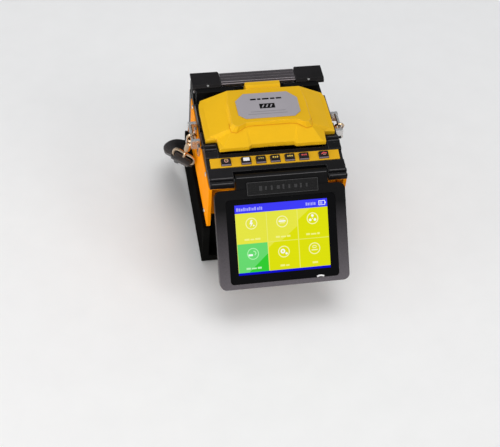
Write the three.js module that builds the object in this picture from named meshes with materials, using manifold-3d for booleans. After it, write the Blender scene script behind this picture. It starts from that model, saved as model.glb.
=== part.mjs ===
// Core-alignment fibre fusion splicer: bench-top body with a tilting screen, a hinged
// wind cover over the splice bay, a tube heater at the rear and a neck strap.
// Millimetres. X right, Y back, Z up. Origin: centre of the underside, on the resting plane.
import * as THREE from 'three';
import { mergeVertices } from 'three/addons/utils/BufferGeometryUtils.js';
import Module from 'manifold-3d';

const wasm = await Module();
wasm.setup();

// ---------- driving dimensions ----------
const GAP = 0.3;                    // clearance between neighbouring pieces
const BODY_HALF = 51.9;             // half width of the black deck
const SHELL_HALF = 52.6;             // half width over the side shells
const BASE_HALF = 55.5;             // half width over the base
const FRONT_Y = -58;                // front of the shells
const RECESS_Y = -44;               // back wall of the recess the screen folds into
const RECESS_HALF = 49.8;           // half width of that recess
const REAR_Y = 51.8;                // rear of the body
const PAD_T = 1.7;                  // rubber pad thickness
const BASE_Z0 = 2;                  // underside of the base housing
const BASE_Z1 = 42;                 // top of the base housing
const SHELL_Z0 = 43;                // lower edge of the side shells
const SHELL_Z1 = 87.6;              // upper edge of the side shells
const SHELL_ROUND = 4;              // rounding of the shells' lower front corner
const DECK_Z0 = 88;                 // underside of the deck
const DECK_Z1 = 96.6;               // top of the deck beside the splice bay
const LIP_Y = -60;                  // front lip of the deck
const STRIP_TILT = 13.2;            // key strip slopes down to the front, degrees
const STRIP_Y = -40.95;             // key strip centre
const STRIP_Z = 95.65;
const STRIP_HALF = 49.2;
const STRIP_DEPTH = 8.2;
const STRIP_T = 1.4;
const KEY_W = 7.1;
const KEY_D = 5.5;
const KEY_PITCH = 11;
const KEY_STEPS = [-3.39, -2.01, -0.99, 0, 1.01, 2, 3.38];   // key places, in pitches
const COVER_Z0 = 97;                // lower edge of the wind cover
const COVER_TOP = 113.2;            // plateau of the wind cover
const COVER_AXIS = [26.4, 102];     // wind cover hinge, y and z
const HEATER_AXIS = [48.8, 100.2];  // heater lid hinge, y and z
const HEATER_INNER = 30.1;          // half width of the clear heater lid
const SCREEN_TILT = 48.34;          // turn of the screen about X from lying flat, degrees
const SCREEN_POS = [0, -88, 60.4];  // centre of the lit area
const SCREEN_HALF = 49.35;
const GLASS_HALF = 41.5;
const NECK_HALF = 34.7;
const NECK_X = 2;                   // the neck sits right of centre
const BARREL = [44.4, -4.65];       // hinge axis in the screen's own frame, up and out
const SCREEN_AXIS = [-55, 90.5];    // the same axis in the body frame, y and z
const FIBRE_Z = 91;                 // height of the optical fibre
const FIBRE_Y = -5;
const STRAP_W = 20;                 // webbing width
const STRAP_T = 1.5;                // webbing thickness
const STRAP_PASSES = 9;             // folds of the stowed webbing
const STRAP_GAP = 5;                // distance between neighbouring folds
const STRAP_FOLD_HALF = 36;         // half length of one fold
const RAD = Math.PI / 180;

// ---------- colours ----------
const YELLOW = 0xe9b420;
const ORANGE = 0xdc9410;
const BLACK = 0x232326;
const DARK = 0x3c3b40;
const RUBBER = 0x18181a;
const STEEL = 0xb4b3ae;
const GOLD = 0xb99a62;
const GREEN = 0x1e5a36;
const SILVER = 0xa8a4ab;
const SMOKE = 0x6b666b;

// ---------- solids ----------
function toSolid(geometry) {
  const plain = geometry.clone();
  plain.deleteAttribute('normal');
  plain.deleteAttribute('uv');
  const merged = mergeVertices(plain, 1e-5);
  const mesh = new wasm.Mesh({
    numProp: 3,
    vertProperties: new Float32Array(merged.attributes.position.array),
    triVerts: new Uint32Array(merged.index.array),
  });
  return new wasm.Manifold(mesh);
}

function toGeometry(solid) {
  const mesh = solid.getMesh();
  const geometry = new THREE.BufferGeometry();
  geometry.setAttribute('position', new THREE.BufferAttribute(mesh.vertProperties, 3));
  geometry.setIndex(new THREE.BufferAttribute(mesh.triVerts, 1));
  geometry.computeVertexNormals();
  return geometry;
}

// Joins every solid in the list "adds" and takes away every solid in the list "cuts".
function make(adds, cuts = []) {
  let solid = toSolid(adds[0]);
  for (const piece of adds.slice(1)) solid = solid.add(toSolid(piece));
  for (const piece of cuts) solid = solid.subtract(toSolid(piece));
  return toGeometry(solid);
}

function box(x0, x1, y0, y1, z0, z1) {
  const geometry = new THREE.BoxGeometry(x1 - x0, y1 - y0, z1 - z0);
  geometry.translate((x0 + x1) / 2, (y0 + y1) / 2, (z0 + z1) / 2);
  return geometry;
}

// A round bar along X, Y or Z from a to b.
function rod(axis, radius, a, b, c1, c2, sides = 20) {
  const geometry = new THREE.CylinderGeometry(radius, radius, b - a, sides);
  const middle = (a + b) / 2;
  if (axis === 'x') {
    geometry.rotateZ(Math.PI / 2);
    geometry.translate(middle, c1, c2);
  } else if (axis === 'y') {
    geometry.translate(c1, middle, c2);
  } else {
    geometry.rotateX(Math.PI / 2);
    geometry.translate(c1, c2, middle);
  }
  return geometry;
}

// A bar along X whose cross-section is the polygon of [y, z] corners.
function barX(corners, x0, x1) {
  const shape = new THREE.Shape(corners.map(([y, z]) => new THREE.Vector2(y, z)));
  const geometry = new THREE.ExtrudeGeometry(shape, { depth: x1 - x0, bevelEnabled: false });
  const turn = new THREE.Matrix4().set(0, 0, 1, x0, 1, 0, 0, 0, 0, 1, 0, 0, 0, 0, 0, 1);
  geometry.applyMatrix4(turn);
  return geometry;
}

// A plate in the X-Y plane with rounded corners, from z0 to z1.
function roundedPlate(x0, x1, y0, y1, radius, z0, z1) {
  const shape = new THREE.Shape();
  shape.moveTo(x0 + radius, y0);
  shape.lineTo(x1 - radius, y0);
  shape.absarc(x1 - radius, y0 + radius, radius, -Math.PI / 2, 0, false);
  shape.lineTo(x1, y1 - radius);
  shape.absarc(x1 - radius, y1 - radius, radius, 0, Math.PI / 2, false);
  shape.lineTo(x0 + radius, y1);
  shape.absarc(x0 + radius, y1 - radius, radius, Math.PI / 2, Math.PI, false);
  shape.lineTo(x0, y0 + radius);
  shape.absarc(x0 + radius, y0 + radius, radius, Math.PI, Math.PI * 1.5, false);
  const options = { depth: z1 - z0, bevelEnabled: false, curveSegments: 5 };
  const geometry = new THREE.ExtrudeGeometry(shape, options);
  geometry.translate(0, 0, z0);
  return geometry;
}

// A round wire that follows a closed or open run of points.
function wire(points, radius, closed, sides = 8, steps = 24) {
  const curve = new THREE.CatmullRomCurve3(points.map((p) => new THREE.Vector3(...p)), closed);
  const shape = new THREE.Shape();
  for (let i = 0; i < sides; i += 1) {
    const angle = (i / sides) * Math.PI * 2;
    const x = Math.cos(angle) * radius;
    const y = Math.sin(angle) * radius;
    if (i === 0) shape.moveTo(x, y);
    else shape.lineTo(x, y);
  }
  shape.closePath();
  return new THREE.ExtrudeGeometry(shape, { steps, extrudePath: curve, bevelEnabled: false });
}

function ringWire(ringRadius, wireRadius) {
  return new THREE.TorusGeometry(ringRadius, wireRadius, 8, 20);
}

// ---------- scene graph ----------
const splicer = new THREE.Group();

function piece(name, geometry, color, roughness, metalness, parent = splicer) {
  const material = new THREE.MeshStandardMaterial({ color, roughness, metalness });
  const mesh = new THREE.Mesh(geometry, material);
  mesh.name = name;
  parent.add(mesh);
  return mesh;
}

const SIDES = [['left', -1], ['right', 1]];

// Orders two X values so that a piece can be mirrored by its side.
function span(side, a, b) {
  return side < 0 ? [-b, -a] : [a, b];
}

// ---------- base, battery and pad ----------
function addBase() {
  piece('base_pad', roundedPlate(-50, 50, -52, 47, 6, 0, PAD_T), RUBBER, 0.9, 0);
  piece('base_housing', make(
    [box(-BASE_HALF, BASE_HALF, -57, REAR_Y, BASE_Z0, BASE_Z1)],
    [
      box(-RECESS_HALF, RECESS_HALF, -60, RECESS_Y, 8, 45),
      box(-52.6, 52.6, -41.5, 48.6, 26, 45),
      box(-32, 60, -35, 18.6, 5, 24),
      box(-31, -26, -16, 0, 20, 30),
    ],
  ), BLACK, 0.4, 0);
  const pack = new THREE.Group();
  splicer.add(pack);
  piece('battery_pack', make(
    [box(-31.4, BASE_HALF, -34.6, 18.2, 5.4, 23.6)],
    [
      box(BASE_HALF - 2, 60, -17.4, 1, 14.6, 19.4),
      box(BASE_HALF - 1.4, 60, -22, 5.6, 8, 12.4),
    ],
  ), DARK, 0.5, 0, pack);
  piece('battery_latch', make([
    box(BASE_HALF - 1.7, BASE_HALF + 0.5, -12, 0.6, 15, 19),
    box(BASE_HALF, BASE_HALF + 1.6, -8, -4, 15, 19),
  ]), RUBBER, 0.6, 0, pack);
}

// ---------- shells and rear ----------
// Side outline of a shell in [y, z], with its rounded lower front corner.
function shellOutline(y1) {
  const corners = [];
  for (let i = 0; i <= 5; i += 1) {
    const angle = (180 + i * 18) * RAD;
    corners.push([
      FRONT_Y + SHELL_ROUND * (1 + Math.cos(angle)),
      SHELL_Z0 + SHELL_ROUND * (1 + Math.sin(angle)),
    ]);
  }
  return [...corners, [y1, SHELL_Z0], [y1, SHELL_Z1], [FRONT_Y, SHELL_Z1]];
}

function addShells() {
  for (const [name, side] of SIDES) {
    const wall = span(side, SHELL_HALF - 2.2, SHELL_HALF);
    const cheek = span(side, RECESS_HALF, 51.6);
    const brow = span(side, 36.7 + side * NECK_X, 51.6);
    piece(`${name}_shell`, make([
      barX(shellOutline(40.7), ...wall),
      barX(shellOutline(RECESS_Y - GAP), ...cheek),
      box(...brow, FRONT_Y, FRONT_Y + 2.2, 85.2, SHELL_Z1),
    ]), ORANGE, 0.45, 0);
  }
  piece('front_panel', box(-49.5, 49.5, RECESS_Y, RECESS_Y + 2, SHELL_Z0, SHELL_Z1), ORANGE, 0.5, 0);
  piece('rear_panel', make(
    [box(-52.3, 52.3, 41, REAR_Y, SHELL_Z0, 87.6)],
    [
      box(-50.6, 50.6, 40, 49.6, SHELL_Z0 + 2, 85.6),
      box(-40.3, -28.7, 40, 60, 59.7, 68.3),
      box(12, 42, 49, 60, 60, 61.5),
      box(12, 42, 49, 60, 64, 65.5),
      box(12, 42, 49, 60, 68, 69.5),
    ],
  ), BLACK, 0.5, 0);
  piece('power_inlet', make(
    [box(-40, -29, 45, REAR_Y, 60, 68)],
    [rod('y', 2.8, 47, 60, -34.5, 64)],
  ), RUBBER, 0.5, 0);
}

// ---------- inside the body ----------
function addInternals() {
  piece('main_board', make(
    [box(-48, 48, -40, 44, 30, 31.6), box(-30, -12, -20, -2, 31.5, 34), box(8, 30, 4, 26, 31.5, 35)],
  ), GREEN, 0.6, 0);
  piece('arc_module', make(
    [box(-44, -12, 24, 40.6, 32.4, 52), box(-36, -30, 31, 37, 51, 56)],
  ), RUBBER, 0.5, 0);
  piece('key_board', box(-44, 44, -41.6, -34, 82.4, 84), GREEN, 0.6, 0);
  piece('chassis', make(
    [
      box(-38, 38, -30, 20, 76, 80),
      box(-38, -34, -30, -24, 40, 77),
      box(34, 38, -30, -24, 40, 77),
      box(-38, -34, 14, 20, 40, 77),
      box(34, 38, 14, 20, 40, 77),
    ],
    [box(-9, 9, -16, 6, 70, 90)],
  ), STEEL, 0.4, 1);
  for (const [name, side] of SIDES) {
    piece(`vee_block_${name}`, make(
      [box(...span(side, 3.5, 9.4), FIBRE_Y - 4, FIBRE_Y + 4, 80.3, FIBRE_Z + 0.4)],
      [
        barX([[FIBRE_Y - 0.8, FIBRE_Z + 1], [FIBRE_Y, FIBRE_Z - 0.2], [FIBRE_Y + 0.8, FIBRE_Z + 1]],
          ...span(side, 1, 12)),
      ],
    ), 0xe8e4dc, 0.4, 0);
    const base = span(side, 14, 31);
    piece(`sheath_clamp_${name}`, make(
      [
        box(...base, FIBRE_Y - 9, FIBRE_Y + 8, 80.3, 89.6),
        box(...span(side, 14, 16.4), FIBRE_Y + 8, FIBRE_Y + 12.5, 80.3, 92.6),
        box(...span(side, 28.6, 31), FIBRE_Y + 8, FIBRE_Y + 12.5, 80.3, 92.6),
      ],
      [
        barX([[FIBRE_Y - 0.8, 90], [FIBRE_Y, 89], [FIBRE_Y + 0.8, 90]], ...span(side, 12, 33)),
        rod('x', 0.9, ...span(side, 12, 33), FIBRE_Y + 10.3, 90.6, 12),
      ],
    ), BLACK, 0.45, 0);
    piece(`sheath_lid_${name}`, make(
      [
        box(...base, FIBRE_Y - 4, FIBRE_Y + 4.6, 90, 93),
        box(...span(side, 17, 28), FIBRE_Y + 4, FIBRE_Y + 10.6, 89.9, 93),
        rod('x', 1.8, ...span(side, 17, 28), FIBRE_Y + 10.3, 90.6, 16),
      ],
      [rod('x', 0.9, ...span(side, 12, 33), FIBRE_Y + 10.3, 90.6, 12)],
    ), STEEL, 0.35, 1);
  }
  const holders = [];
  const bores = [];
  const optics = [box(-6, 6, FIBRE_Y - 25, FIBRE_Y + 25, 34, 38)];
  for (const [name, way] of [['front', -1], ['rear', 1]]) {
    const tip = FIBRE_Y + way * 1.4;
    const neck = FIBRE_Y + way * 4.3;
    const end = FIBRE_Y + way * 13.2;
    const cone = new THREE.ConeGeometry(0.9, 3, 12);
    if (way > 0) cone.rotateX(Math.PI);
    cone.translate(0, tip + way * 1.5, FIBRE_Z);
    const shank = rod('y', 0.9, Math.min(neck, end), Math.max(neck, end), 0, FIBRE_Z, 12);
    piece(`electrode_${name}`, make([cone, shank]), STEEL, 0.25, 1);
    const near = FIBRE_Y + way * 11.4;
    const far = FIBRE_Y + way * 17.5;
    const stop = FIBRE_Y + way * 13.5;
    holders.push(box(-4, 4, Math.min(near, far), Math.max(near, far), 80.3, 93));
    holders.push(box(-13.4, 13.4, Math.min(near, far), Math.max(near, far), 80.3, 83));
    bores.push(rod('y', 1.2, Math.min(near - way, stop), Math.max(near - way, stop), 0, FIBRE_Z, 12));
    const lens = new THREE.CylinderGeometry(4.2, 4.2, 30, 20);
    const mount = new THREE.BoxGeometry(12, 10, 12);
    mount.translate(0, -17, 0);
    const camera = make([lens, mount]);
    camera.rotateX(way * -40 * RAD);
    camera.translate(0, FIBRE_Y + way * 15, 52);
    optics.push(camera);
  }
  holders.push(box(-13.4, -10.2, FIBRE_Y - 17, FIBRE_Y + 17, 80.3, 83));
  holders.push(box(10.2, 13.4, FIBRE_Y - 17, FIBRE_Y + 17, 80.3, 83));
  piece('electrode_frame', make(holders, bores), 0xd8d4c8, 0.5, 0);
  piece('microscope', make(optics), RUBBER, 0.4, 0);
}

// ---------- deck and keys ----------
function addDeck() {
  const frontBar = [
    [LIP_Y, DECK_Z0], [-33, DECK_Z0], [-33, DECK_Z1], [-36.5, DECK_Z1], [-36.5, 94.9],
    [-45.5, 92.8], [-45.5, 94.5], [-54.4, 93.2], [-54.9, 94.2], [-56.1, 94], [-56.7, 91.9],
    [-58.3, 91.5], [-58.9, 92.5], [-59.7, 92.3], [LIP_Y, 91.4],
  ];
  const endBlock = [
    [-36, 95], [-22, 95], [-22, 97.4], [-23.6, 98.2], [-25.2, 98.6], [-26.2, 98], [-26.4, 97.2],
    [-27.4, 97.2], [-27.6, 98], [-28.6, 98.6], [-29.8, 98.4], [-30.4, 97.6], [-36, 96.9],
  ];
  const adds = [
    barX(frontBar, -BODY_HALF, BODY_HALF),
    box(-49.5, 49.5, -49.2, -47.4, 84, 89),
    box(-BODY_HALF, BODY_HALF, 22, 28.5, DECK_Z0, DECK_Z1),
    box(-BODY_HALF, BODY_HALF, 28, 46.6, DECK_Z0, 91.6),
  ];
  for (const side of [-1, 1]) {
    adds.push(box(...span(side, 40, BODY_HALF), -34, 23, DECK_Z0, DECK_Z1));
    adds.push(barX(endBlock, ...span(side, 42.2, BODY_HALF)));
    adds.push(rod('x', 1.1, ...span(side, 51, 54), -25, 97.3, 12));
    adds.push(box(...span(side, 13.9, 18), 24.5, 28.3, 96, COVER_AXIS[1]));
    adds.push(rod('x', 1.9, ...span(side, 13.9, 18), COVER_AXIS[0], COVER_AXIS[1]));
  }
  piece('top_deck', make(adds, [
    box(NECK_X - 35.6, NECK_X + 35.6, -62, -49.2, 80, 100),
    box(...span(-1, 48.2, 60), 24, 30, 91.6, 100),
    box(...span(1, 48.2, 60), 24, 30, 91.6, 100),
    box(-43, 42.4, -44.3, -37, 80, 100),
    box(-60, 60, FIBRE_Y - 2.6, FIBRE_Y + 2.6, 90.2, 100),
    rod('x', 1.25, -20, 20, COVER_AXIS[0], COVER_AXIS[1]),
    rod('x', 1.75, 30, 43.3, SCREEN_AXIS[0], SCREEN_AXIS[1]),
    rod('x', 1.75, -43.3, -30, SCREEN_AXIS[0], SCREEN_AXIS[1]),
  ]), BLACK, 0.4, 0);
  for (const [name, side] of SIDES) {
    piece(`screen_pin_${name}`, rod('x', 1.45, ...span(side, 24.5, 43), ...SCREEN_AXIS), STEEL, 0.3, 1);
  }
  const strip = new THREE.Group();
  strip.position.set(0, STRIP_Y, STRIP_Z);
  strip.rotation.x = STRIP_TILT * RAD;
  splicer.add(strip);
  const windows = KEY_STEPS.map((step) => {
    const x = step * KEY_PITCH;
    const reach = KEY_W / 2 + GAP;
    return box(x - reach, x + reach, -KEY_D / 2 - GAP, KEY_D / 2 + GAP, -4, 4);
  });
  const face = box(-STRIP_HALF, STRIP_HALF, -STRIP_DEPTH / 2, STRIP_DEPTH / 2, -STRIP_T, 0);
  piece('key_strip', make([face], windows), YELLOW, 0.45, 0, strip);
  KEY_STEPS.forEach((step, i) => {
    const x = step * KEY_PITCH;
    piece(`key_${i + 1}`, make([
      box(x - KEY_W / 2, x + KEY_W / 2, -KEY_D / 2, KEY_D / 2, -3, 1),
      box(x - 1.6, x + 1.6, -1.6, 1.6, -9, -2),
    ]), RUBBER, 0.7, 0, strip);
  });
}

// ---------- wind cover ----------
// Right half of the cover's outer skin: named corners as x, y, z.
const COVER_POINTS = {
  w0: [0, 23.8, 107.2], w1: [27, 23.8, 107.2], w2: [48.3, 22.4, 100.8], w3: [49.8, 18.6, 100.4],
  w4: [50.1, 12, 100.4], w6: [49.8, -20.8, 100.4], w7: [41.4, -20.8, 100.8],
  w8: [40.8, -31, 100.4], w9: [18.6, -31, 100.4], w10: [16.2, -29.2, 101], w11: [0, -29, 101.2],
  p0: [0, 18.6, 113.2], p1: [28.3, 18.4, 113.2], p2: [29.8, 4, 113.2], p3: [29.9, -18.4, 113.2],
  p4: [27.8, -20.8, 113.2], p5: [25.4, -21.2, 113.2], p6: [19.6, -18.2, 113.2],
  p7: [15, -17.8, 113.2], p8: [0, -17.8, 113.2],
  q2: [31.4, 3, 110.8], q3: [31.6, -19, 108.9], q4: [31, -21.4, 107.6], q5: [27, -22.2, 107],
  q6: [19.4, -19, 109.4], q7: [15, -18.6, 109.7], q8: [0, -18.6, 109.7],
  c1: [37.1, 4.9, 107.3], c2: [43.5, 13.4, 103.4], c3: [45, 18.4, 102.4],
  l5: [46.6, 11.6, 101.3], l7: [46.4, -18, 101.2], t1: [37.6, -30.2, 101.1],
};
const COVER_FACES = [
  'p0 p8 p7 p6 p5 p4 p3 p2 p1', 'p8 q8 q7 p7', 'p7 q7 q6 p6', 'p6 q6 q5 p5', 'p5 q5 q4 p4',
  'p4 q4 q3 p3', 'p3 q3 q2 p2', 'w0 p0 p1 w1', 'p1 p2 q2', 'p1 q2 c1', 'p1 c1 c2', 'p1 c2 c3',
  'p1 c3 w2', 'p1 w2 w1', 'q2 q3 l7', 'q2 l7 c1', 'c1 l7 l5', 'c1 l5 c2', 'c2 l5 c3',
  'c3 l5 w3', 'c3 w3 w2', 'l5 w4 w3', 'l5 l7 w4', 'l7 w6 w4', 'l7 w7 w6', 'l7 q3 w7',
  'q3 q4 w7', 'q4 t1 w7', 't1 w8 w7', 'q4 q5 t1', 'q5 w9 t1', 't1 w9 w8', 'q5 q6 w9',
  'q6 w10 w9', 'q6 q7 w10', 'q7 w11 w10', 'q7 q8 w11',
];
const COVER_EDGE = ['w0', 'w1', 'w2', 'w3', 'w4', 'w6', 'w7', 'w8', 'w9', 'w10', 'w11'];

// A closed skin from named corners of the right half, mirrored, down to a flat underside.
function mirroredSkin(points, faces, edge, floor) {
  const verts = [];
  const index = new Map();
  const vertex = (x, y, z) => {
    const key = `${x.toFixed(4)},${y.toFixed(4)},${z.toFixed(4)}`;
    if (!index.has(key)) {
      index.set(key, verts.length / 3);
      verts.push(x, y, z);
    }
    return index.get(key);
  };
  const triangles = [];
  const polygon = (corners) => {
    const flat = corners.map(([x, y]) => new THREE.Vector2(x, y));
    for (const tri of THREE.ShapeUtils.triangulateShape(flat, [])) {
      const [a, b, c] = tri.map((i) => corners[i]);
      const up = (b[0] - a[0]) * (c[1] - a[1]) - (b[1] - a[1]) * (c[0] - a[0]) > 0;
      const ids = [a, b, c].map((corner) => vertex(...corner));
      triangles.push(...(up ? ids : ids.reverse()));
    }
  };
  const flip = ([x, y, z]) => [-x, y, z];
  for (const face of faces) {
    const corners = face.split(' ').map((name) => points[name]);
    polygon(corners);
    polygon(corners.map(flip));
  }
  const half = edge.map((name) => points[name]);
  const rim = [...half, ...half.slice(1, -1).reverse().map(flip)];
  const low = rim.map(([x, y]) => [x, y, floor]);
  const flat = low.map(([x, y]) => new THREE.Vector2(x, y));
  for (const tri of THREE.ShapeUtils.triangulateShape(flat, [])) {
    const [a, b, c] = tri.map((i) => low[i]);
    const up = (b[0] - a[0]) * (c[1] - a[1]) - (b[1] - a[1]) * (c[0] - a[0]) > 0;
    const ids = [a, b, c].map((corner) => vertex(...corner));
    triangles.push(...(up ? ids.reverse() : ids));
  }
  rim.forEach((corner, i) => {
    const next = (i + 1) % rim.length;
    const [a, b, c, d] = [corner, rim[next], low[next], low[i]].map((v) => vertex(...v));
    triangles.push(a, b, c, a, c, d);
  });
  const geometry = new THREE.BufferGeometry();
  geometry.setAttribute('position', new THREE.Float32BufferAttribute(verts, 3));
  geometry.setIndex(triangles);
  return geometry;
}

function addCover() {
  const tab = [
    [17, 111], [24, 99.6], [28.2, 99.6], [28.2, 102], [26.6, 108], [25.6, 113.2], [24.4, 115.2],
    [20.6, 115.2],
  ];
  const shell = mirroredSkin(COVER_POINTS, COVER_FACES, COVER_EDGE, COVER_Z0);
  const group = new THREE.Group();
  splicer.add(group);
  piece('wind_cover', make(
    [shell, barX(tab, -13.5, 13.5)],
    [
      box(-38, 38, -27.6, 21.4, 90, 99.4),
      box(-35, 35, -24, 18, 99, 103.4),
      box(-31.8, 31.8, -13, 13, 103, 107.8),
      box(-24, 24, -10, 11, 107, 110.6),
      box(-13.6, 13.6, 28.1, 40, 90, 103.8),
      rod('x', 1.25, -20, 20, ...COVER_AXIS),
    ],
  ), YELLOW, 0.45, 0, group);
  const label = new THREE.Shape([
    [-17, 12.8], [-24, 5.3], [-23.8, -10], [-18.8, -14.5], [18.8, -14.5], [23.8, -10],
    [24, 5.3], [17, 12.8],
  ].map(([x, y]) => new THREE.Vector2(x, y)));
  const plate = new THREE.ExtrudeGeometry(label, { depth: 0.5, bevelEnabled: false });
  plate.translate(0, 0, COVER_TOP + 0.1);
  piece('cover_label', plate, SILVER, 0.35, 0.3, group);
  piece('fibre_presser', make([
    box(-8.6, -4, FIBRE_Y - 2.4, FIBRE_Y + 2.4, FIBRE_Z + 1, FIBRE_Z + 3),
    box(4, 8.6, FIBRE_Y - 2.4, FIBRE_Y + 2.4, FIBRE_Z + 1, FIBRE_Z + 3),
    box(-7.4, -5.2, FIBRE_Y - 1.4, FIBRE_Y + 1.4, FIBRE_Z + 2, 108),
    box(5.2, 7.4, FIBRE_Y - 1.4, FIBRE_Y + 1.4, FIBRE_Z + 2, 108),
    box(-10, 10, FIBRE_Y - 4, FIBRE_Y + 4, 107, 110.1),
  ]), STEEL, 0.35, 1, group);
  piece('cover_pin', rod('x', 0.95, -17.8, 17.8, ...COVER_AXIS), STEEL, 0.3, 1);
}

// ---------- tube heater ----------
function addHeater() {
  const [hingeY, hingeZ] = HEATER_AXIS;
  const profile = [
    [28.8, 92], [46.6, 92], [46.6, 88.1], [REAR_Y, 88.1], [REAR_Y, 97.2], [45.6, 97.2],
    [45.6, 101], [33, 101], [33, 103.6], [28.8, 103.6],
  ];
  const adds = [barX(profile, -BODY_HALF, BODY_HALF)];
  for (const side of [-1, 1]) {
    for (const [a, b] of [[26.4, 29.6], [48.2, 51.4]]) {
      adds.push(box(...span(side, a, b), hingeY - 2.3, hingeY + 2.3, 97, hingeZ));
      adds.push(rod('x', 2.3, ...span(side, a, b), hingeY, hingeZ));
    }
  }
  piece('heater_housing', make(adds, [
    box(-60, 60, 35.7, 44.3, 96.7, 110),
    box(-60, -50.2, 28, 36, 91.7, 110),
    box(47.6, 60, 28, 44.3, 91.7, 110),
    box(-20, 20, 20, 33.2, 97.6, 110),
    rod('x', 1.35, -60, 60, hingeY, hingeZ),
  ]), BLACK, 0.6, 0);
  piece('heater_bed', make(
    [box(-51.4, 47.3, 36, 44, 97, 100.6)],
    [box(-60, 60, 37.6, 42.4, 98.2, 110)],
  ), STEEL, 0.45, 1);
  piece('heater_pin', rod('x', 1.05, -51.2, 51.2, hingeY, hingeZ), STEEL, 0.3, 1);
  const hole = rod('x', 1.35, -60, 60, hingeY, hingeZ);
  const lidProfile = [
    [35.4, 103.4], [38, 103.4], [38.8, 104.4], [45.4, 104.4], [46.4, 101.4], [50.6, 101.4],
    [50.4, 102.6], [48, 105.4], [36.4, 105.6], [35.4, 104.8],
  ];
  piece('heater_lid', make(
    [barX(lidProfile, -29.8, 29.8), rod('x', 2.3, -26, 26, hingeY, hingeZ)],
    [box(...span(-1, 26.1, 32), 45.9, 52, 90, 103), box(...span(1, 26.1, 32), 45.9, 52, 90, 103), hole],
  ), SMOKE, 0.2, 0);
  const wingProfile = [
    [33.5, 101.9], [45.9, 101.9], [45.9, hingeZ], [51, hingeZ], [51, 104.6], [49.6, 105.9],
    [35.4, 105.7], [33.5, 104.2],
  ];
  for (const [name, side] of SIDES) {
    const round = HEATER_INNER + 4;
    const corner = make(
      [box(...span(side, HEATER_INNER - 2, round), 47, 54, 90, 110)],
      [rod('z', 4, 80, 120, side * round, 47, 32)],
    );
    piece(`heater_wing_${name}`, make(
      [barX(wingProfile, ...span(side, HEATER_INNER, 52.6)), rod('x', 2.3, ...span(side, round, 47.8),
        hingeY, hingeZ)],
      [box(...span(side, 47.8, 60), 45.6, 52, 90, 102.9), hole, corner,
        rod('z', 1.25, 104.1, 110, side * 40.3, 35.1, 12)],
    ), BLACK, 0.7, 0);
    piece(`wing_screw_${name}`, rod('z', 1, 104.4, 105.1, side * 40.3, 35.1, 12), STEEL, 0.25, 1);
  }
}

// ---------- tilting screen ----------
// Built lying flat: x across, y up the screen, z out of the glass.
function addScreen() {
  const screen = new THREE.Group();
  screen.position.set(...SCREEN_POS);
  screen.rotation.x = SCREEN_TILT * RAD;
  splicer.add(screen);
  const [up, out] = BARREL;
  const slant = [[38.5, -4.6], [38.5, -9], [21, -9], [29, -6.2]];
  piece('screen_frame', make(
    [
      roundedPlate(-SCREEN_HALF, SCREEN_HALF, -36.6, 37.4, 5, -6, 0),
      box(NECK_X - NECK_HALF, NECK_X + NECK_HALF, 34, 44.4, -8.2, -0.6),
      rod('x', 4.6, NECK_X - NECK_HALF, NECK_X + NECK_HALF, up, out, 24),
    ],
    [
      roundedPlate(-GLASS_HALF, GLASS_HALF, -33, 30.3, 2.7, -10, 4),
      roundedPlate(NECK_X - 27.3, NECK_X + 27.3, 32.1, 43, 1, -1.1, 3),
      rod('x', 1.75, 24, 40, up, out),
      rod('x', 1.75, -40, -24, up, out),
      barX(slant, -60, NECK_X - NECK_HALF - 0.2),
      barX(slant, NECK_X + NECK_HALF + 0.2, 60),
    ],
  ), DARK, 0.45, 0, screen);
  piece('screen_back', make(
    [roundedPlate(-48.8, 48.8, -36.2, 33.4, 5, -12, -6.3)],
    [
      barX([[24, -13], [40, -13], [40, -6]], -60, 60),
      box(-44, 44, -32, 22, -10.2, -5),
    ],
  ), BLACK, 0.5, 0, screen);
  piece('screen_glass', roundedPlate(-41.2, 41.2, -32.7, 30, 2.4, -1.7, -0.2), 0x0c0c10, 0.1, 0, screen);
  piece('lcd_module', box(-38.4, 38.4, -29.4, 29.2, -5.6, -2), 0xd6dc20, 0.4, 0, screen);
  piece('name_plate', roundedPlate(NECK_X - 27, NECK_X + 27, 32.4, 42.7, 0.8, -0.8, 0.1), 0x2b2b2d, 0.6, 0, screen);
}

// ---------- strap hardware ----------
const BAR_X = 58;                   // strap bar, beside the deck
const BAR_Y = -5;                   // where the hook hangs on it
const BAR_Z = 90.5;
const HOOK_EYE = 26;                // bar to the swivel eye of the hook
const RING_DROP = 12;               // height of the D-ring
// How each hook hangs: lean away from the body and swing to the rear in degrees, turn of the
// swivel eye, the way the ring hangs and the way its straight bar runs.
const HANG = {
  left: { lean: 8, swing: 16, eyeTurn: -30, down: [-0.14, 0.38, -0.914], bar: [0.8, -0.45, -0.3] },
  right: { lean: 9, swing: 25, eyeTurn: 90, down: [0.04, 0.6, -0.8], bar: [0, 0.8, 0.6] },
};

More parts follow.
